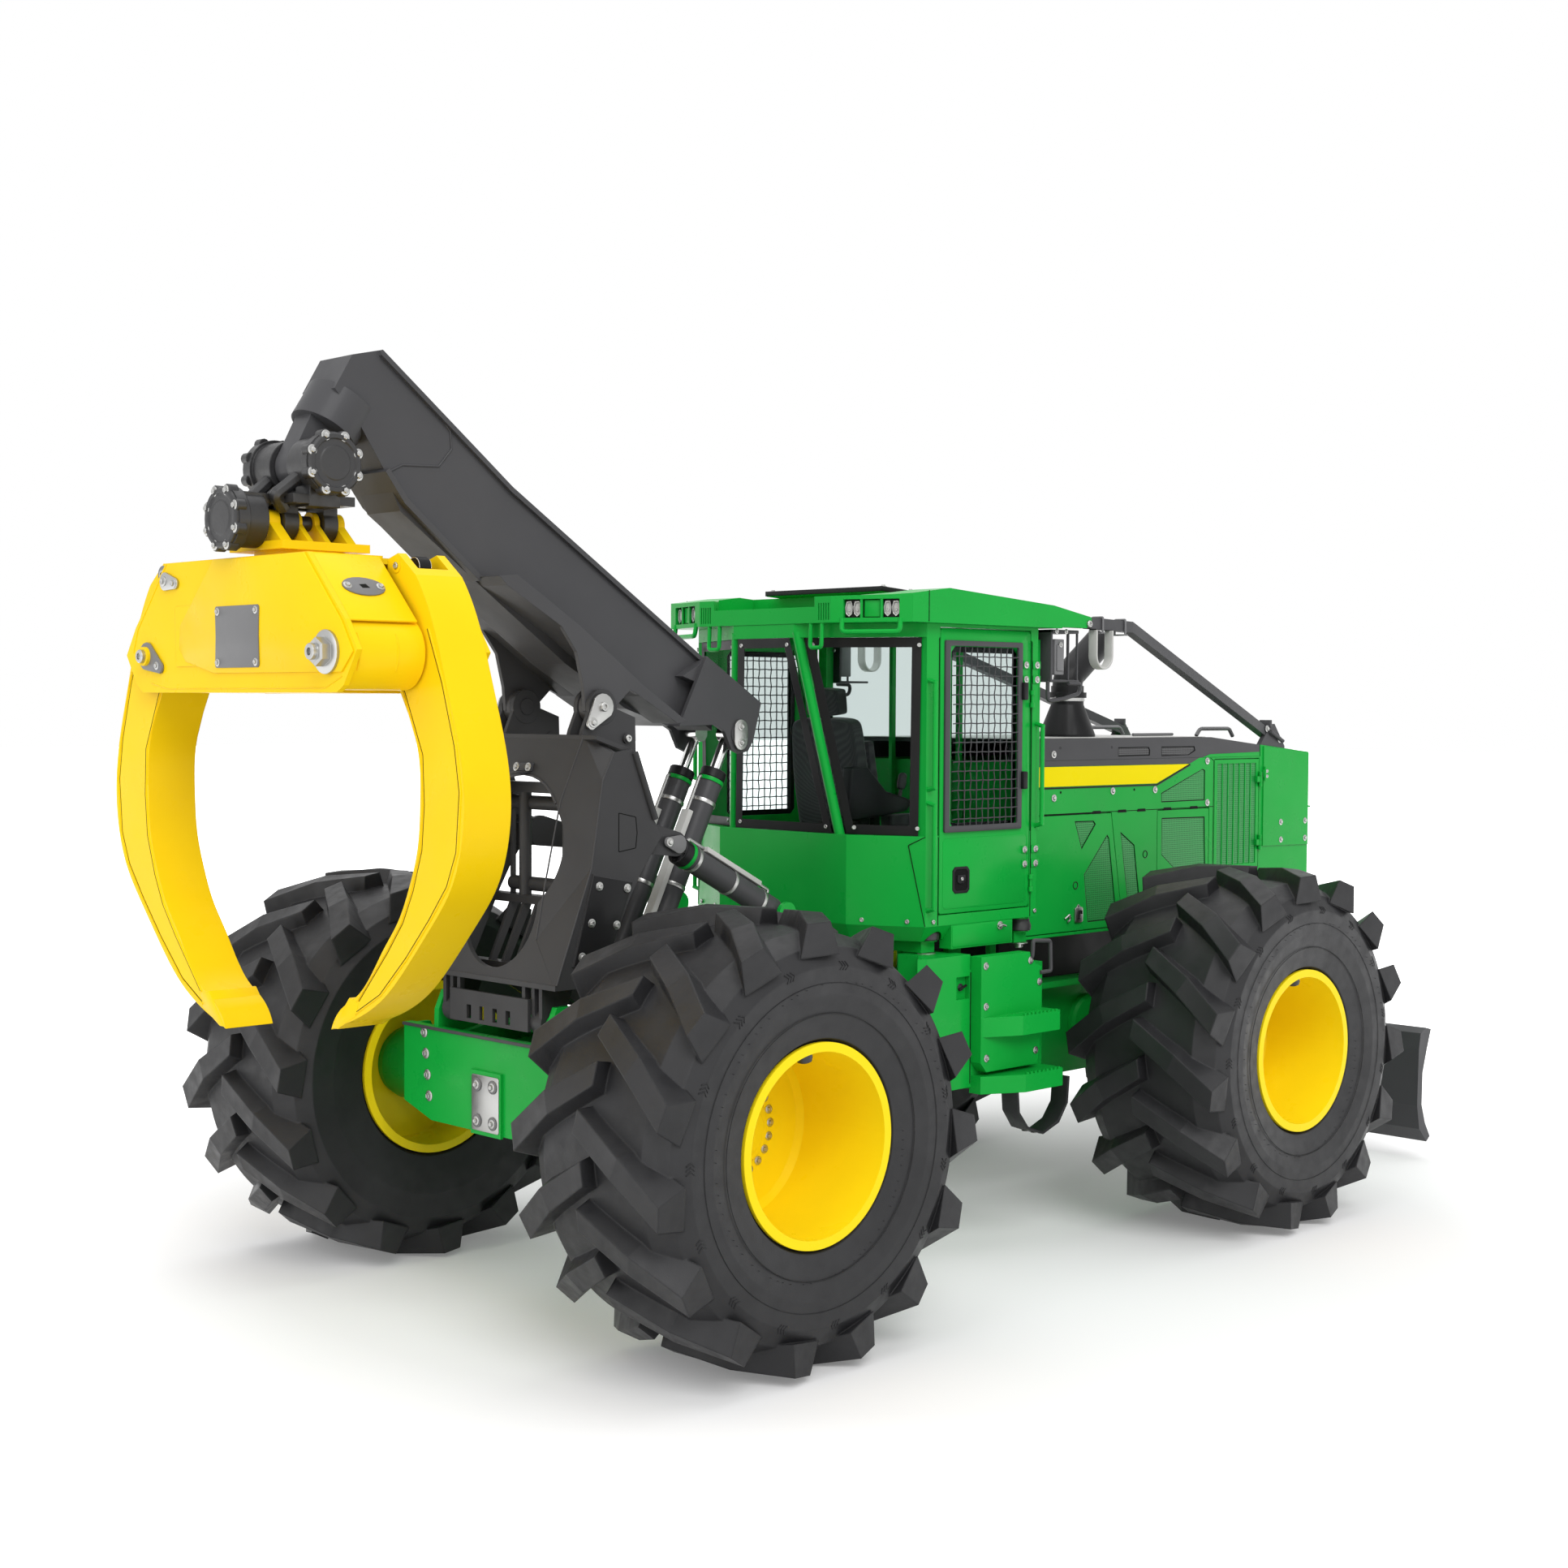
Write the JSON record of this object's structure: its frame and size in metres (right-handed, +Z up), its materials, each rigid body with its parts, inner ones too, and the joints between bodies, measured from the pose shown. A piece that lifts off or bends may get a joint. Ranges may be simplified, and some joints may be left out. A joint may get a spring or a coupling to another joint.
{
  "type": "grapple skidder",
  "caption": "Articulated log skidder with an enclosed cab, arch, boom and hanging grapple.",
  "frame": {"origin": "on the ground, under the middle of the whole machine's box", "axes": "+X forward, +Y left, +Z up"},
  "size_m": [7.678, 3.6878, 4.3458],
  "materials": {
    "green": "gloss paint",
    "yellow": "gloss paint",
    "charcoal": "satin paint",
    "tyre": "matt rubber",
    "steel": "bright rod",
    "glass": "tinted",
    "casting": "painted casting",
    "seat": "woven",
    "black": "black paint"
  },
  "bodies": {
    "rear": {"rear_frame": "green", "rear_axle": "green", "winch": "charcoal"},
    "front": {"front_frame": "green", "front_axle": "green", "cab_shell": "green", "cab_roof": "green", "cab_glass": "glass", "seat": "seat", "hood": "green", "cowl": "charcoal", "front_box": "green", "engine": "black", "cooler": "black", "exhaust": "black", "risers": "charcoal", "tank_r": "green", "tank_l": "green", "engine_panel_r": "green", "engine_panel_l": "green", "filter_panel_r": "green", "filter_panel_l": "green"},
    "arch": {"arch": "charcoal", "fairlead": "charcoal"},
    "boom": {"boom": "charcoal"},
    "crosshead": {"crosshead": "casting"},
    "hanger": {"hanger": "yellow"},
    "grapple_head": {"grapple_head": "yellow"},
    "tong_r": {"tong_r": "yellow"},
    "tong_l": {"tong_l": "yellow"},
    "tong_barrel_r": {"tong_barrel_r": "black"},
    "tong_barrel_l": {"tong_barrel_l": "black"},
    "tong_rod_r": {"tong_rod_r": "steel"},
    "tong_rod_l": {"tong_rod_l": "steel"},
    "boom_cyl_barrels": {"boom_cyl_barrels": "charcoal"},
    "boom_cyl_rods": {"boom_cyl_rods": "steel"},
    "arch_cyl_barrels": {"arch_cyl_barrels": "charcoal"},
    "arch_cyl_rods": {"arch_cyl_rods": "steel"},
    "blade_cyl_barrels": {"blade_cyl_barrels": "charcoal"},
    "blade_cyl_rods": {"blade_cyl_rods": "steel"},
    "steer_barrel_r": {"steer_barrel_r": "charcoal"},
    "steer_barrel_l": {"steer_barrel_l": "charcoal"},
    "steer_rod_r": {"steer_rod_r": "steel"},
    "steer_rod_l": {"steer_rod_l": "steel"},
    "door_r": {"door_r": "green"},
    "door_l": {"door_l": "green"},
    "grille_door_r": {"grille_door_r": "green"},
    "grille_door_l": {"grille_door_l": "green"},
    "blade": {"blade": "charcoal"},
    "wheel_rl": {"tyre_rl": "tyre", "rim_rl": "yellow"},
    "wheel_rr": {"tyre_rr": "tyre", "rim_rr": "yellow"},
    "wheel_fl": {"tyre_fl": "tyre", "rim_fl": "yellow"},
    "wheel_fr": {"tyre_fr": "tyre", "rim_fr": "yellow"}
  },
  "joints": [
    {"name": "articulation", "type": "hinge", "parent": "rear", "child": "front", "pos_m": [-0.237, 0, 0.976], "axis": [0, 0, 1], "range_deg": [-40, 40]},
    {"name": "wheel_rl_roll", "type": "hinge", "parent": "rear", "child": "wheel_rl", "pos_m": [-2.091, 1.3675, 0.976], "axis": [0, 1, 0], "continuous": true},
    {"name": "wheel_rr_roll", "type": "hinge", "parent": "rear", "child": "wheel_rr", "pos_m": [-2.091, -1.3675, 0.976], "axis": [0, 1, 0], "continuous": true},
    {"name": "wheel_fl_roll", "type": "hinge", "parent": "front", "child": "wheel_fl", "pos_m": [1.617, 1.3675, 0.976], "axis": [0, 1, 0], "continuous": true},
    {"name": "wheel_fr_roll", "type": "hinge", "parent": "front", "child": "wheel_fr", "pos_m": [1.617, -1.3675, 0.976], "axis": [0, 1, 0], "continuous": true},
    {"name": "arch_tilt", "type": "hinge", "parent": "rear", "child": "arch", "pos_m": [-2.411, 0, 1.372], "axis": [0, -1, 0], "range_deg": [0, 30]},
    {"name": "boom_lift", "type": "hinge", "parent": "arch", "child": "boom", "pos_m": [-2.083, 0, 2.808], "axis": [0, 1, 0], "range_deg": [-52, 0]},
    {"name": "crosshead_swing", "type": "hinge", "parent": "boom", "child": "crosshead", "pos_m": [-3.463, 0, 3.826], "axis": [0, 1, 0], "range_deg": [0, 52]},
    {"name": "side_swing", "type": "hinge", "parent": "crosshead", "child": "hanger", "pos_m": [-3.463, 0, 3.587], "axis": [1, 0, 0], "range_deg": [-35, 35]},
    {"name": "grapple_rotate", "type": "hinge", "parent": "hanger", "child": "grapple_head", "pos_m": [-3.476, 0, 3.44], "axis": [0, 0, 1], "continuous": true},
    {"name": "tong_r_swing", "type": "hinge", "parent": "grapple_head", "child": "tong_r", "pos_m": [-3.316, -0.725, 3.022], "axis": [-1, 0, 0], "range_deg": [-13, 50]},
    {"name": "tong_l_swing", "type": "hinge", "parent": "grapple_head", "child": "tong_l", "pos_m": [-3.636, 0.725, 3.022], "axis": [1, 0, 0], "range_deg": [-13, 50]},
    {"name": "tong_barrel_r_pivot", "type": "hinge", "parent": "grapple_head", "child": "tong_barrel_r", "pos_m": [-3.316, 0.36, 3.195], "axis": [-1, 0, 0], "range_deg": [-7.71, 2.37]},
    {"name": "tong_rod_r_slide", "type": "slide", "parent": "tong_barrel_r", "child": "tong_rod_r", "axis": [0, -0.9837, 0.1799], "range_m": [-0.2904, 0.077]},
    {"name": "tong_barrel_l_pivot", "type": "hinge", "parent": "grapple_head", "child": "tong_barrel_l", "pos_m": [-3.636, -0.36, 3.195], "axis": [1, 0, 0], "range_deg": [-7.71, 2.37]},
    {"name": "tong_rod_l_slide", "type": "slide", "parent": "tong_barrel_l", "child": "tong_rod_l", "axis": [0, 0.9837, 0.1799], "range_m": [-0.2904, 0.077]},
    {"name": "boom_barrel_pivot", "type": "hinge", "parent": "arch", "child": "boom_cyl_barrels", "pos_m": [-1.729, 0, 1.368], "axis": [0, 1, 0], "range_deg": [-16.18, 0.5]},
    {"name": "boom_rod_slide", "type": "slide", "parent": "boom_cyl_barrels", "child": "boom_cyl_rods", "axis": [0.4414, 0, 0.8973], "range_m": [-0.002, 0.7608]},
    {"name": "arch_barrel_pivot", "type": "hinge", "parent": "rear", "child": "arch_cyl_barrels", "pos_m": [-1.016, 0, 1.79], "axis": [0, -1, 0], "range_deg": [-1.28, 0.5]},
    {"name": "arch_rod_slide", "type": "slide", "parent": "arch_cyl_barrels", "child": "arch_cyl_rods", "axis": [-0.8877, 0, 0.4604], "range_m": [-0.002, 0.5417]},
    {"name": "blade_lift", "type": "hinge", "parent": "front", "child": "blade", "pos_m": [2.809, 0, 0.76], "axis": [0, -1, 0], "range_deg": [-12, 22]},
    {"name": "blade_barrel_pivot", "type": "hinge", "parent": "front", "child": "blade_cyl_barrels", "pos_m": [3.214, 0, 1.115], "axis": [0, -1, 0], "range_deg": [-11.78, 21.18]},
    {"name": "blade_rod_slide", "type": "slide", "parent": "blade_cyl_barrels", "child": "blade_cyl_rods", "axis": [0.5061, 0, -0.8625], "range_m": [-0.2068, 0.1137]},
    {"name": "steer_barrel_r_pivot", "type": "hinge", "parent": "front", "child": "steer_barrel_r", "pos_m": [0.209, -0.45, 0.975], "axis": [0, 0, 1], "range_deg": [-19.62, 19.62]},
    {"name": "steer_rod_r_slide", "type": "slide", "parent": "steer_barrel_r", "child": "steer_rod_r", "axis": [-0.9882, 0.1531, 0], "range_m": [-0.2614, 0.2614]},
    {"name": "steer_barrel_l_pivot", "type": "hinge", "parent": "front", "child": "steer_barrel_l", "pos_m": [0.209, 0.45, 0.975], "axis": [0, 0, 1], "range_deg": [-19.62, 19.62]},
    {"name": "steer_rod_l_slide", "type": "slide", "parent": "steer_barrel_l", "child": "steer_rod_l", "axis": [-0.9882, -0.1531, 0], "range_m": [-0.2614, 0.2614]},
    {"name": "door_r_swing", "type": "hinge", "parent": "front", "child": "door_r", "pos_m": [0.408, -0.862, 2.49], "axis": [0, 0, 1], "range_deg": [0, 100]},
    {"name": "grille_door_r_swing", "type": "hinge", "parent": "front", "child": "grille_door_r", "pos_m": [2.941, -0.612, 2.17], "axis": [0, 0, 1], "range_deg": [0, 110]},
    {"name": "door_l_swing", "type": "hinge", "parent": "front", "child": "door_l", "pos_m": [0.408, 0.862, 2.49], "axis": [0, 0, -1], "range_deg": [0, 100]},
    {"name": "grille_door_l_swing", "type": "hinge", "parent": "front", "child": "grille_door_l", "pos_m": [2.941, 0.612, 2.17], "axis": [0, 0, -1], "range_deg": [0, 110]}
  ],
  "couplings": [
    {"joint": "crosshead_swing", "follows": "boom_lift", "ratio": -1},
    {"joint": "tong_l_swing", "follows": "tong_r_swing", "ratio": 1},
    {"joint": "tong_barrel_r_pivot", "follows": "tong_r_swing", "ratio": -0.14417},
    {"joint": "tong_rod_r_slide", "follows": "tong_r_swing", "m_per_rad": -0.3305},
    {"joint": "tong_barrel_l_pivot", "follows": "tong_r_swing", "ratio": -0.14417},
    {"joint": "tong_rod_l_slide", "follows": "tong_r_swing", "m_per_rad": -0.3305},
    {"joint": "boom_barrel_pivot", "follows": "boom_lift", "ratio": 0.30151},
    {"joint": "boom_rod_slide", "follows": "boom_lift", "m_per_rad": -0.83608},
    {"joint": "arch_barrel_pivot", "follows": "arch_tilt", "ratio": -0.02608},
    {"joint": "arch_rod_slide", "follows": "arch_tilt", "m_per_rad": 1.0308},
    {"joint": "blade_barrel_pivot", "follows": "blade_lift", "ratio": 0.93987},
    {"joint": "blade_rod_slide", "follows": "blade_lift", "m_per_rad": -0.53331},
    {"joint": "steer_barrel_r_pivot", "follows": "articulation", "ratio": -0.4781},
    {"joint": "steer_rod_r_slide", "follows": "articulation", "m_per_rad": 0.37158},
    {"joint": "steer_barrel_l_pivot", "follows": "articulation", "ratio": -0.4781},
    {"joint": "steer_rod_l_slide", "follows": "articulation", "m_per_rad": -0.37158}
  ]
}
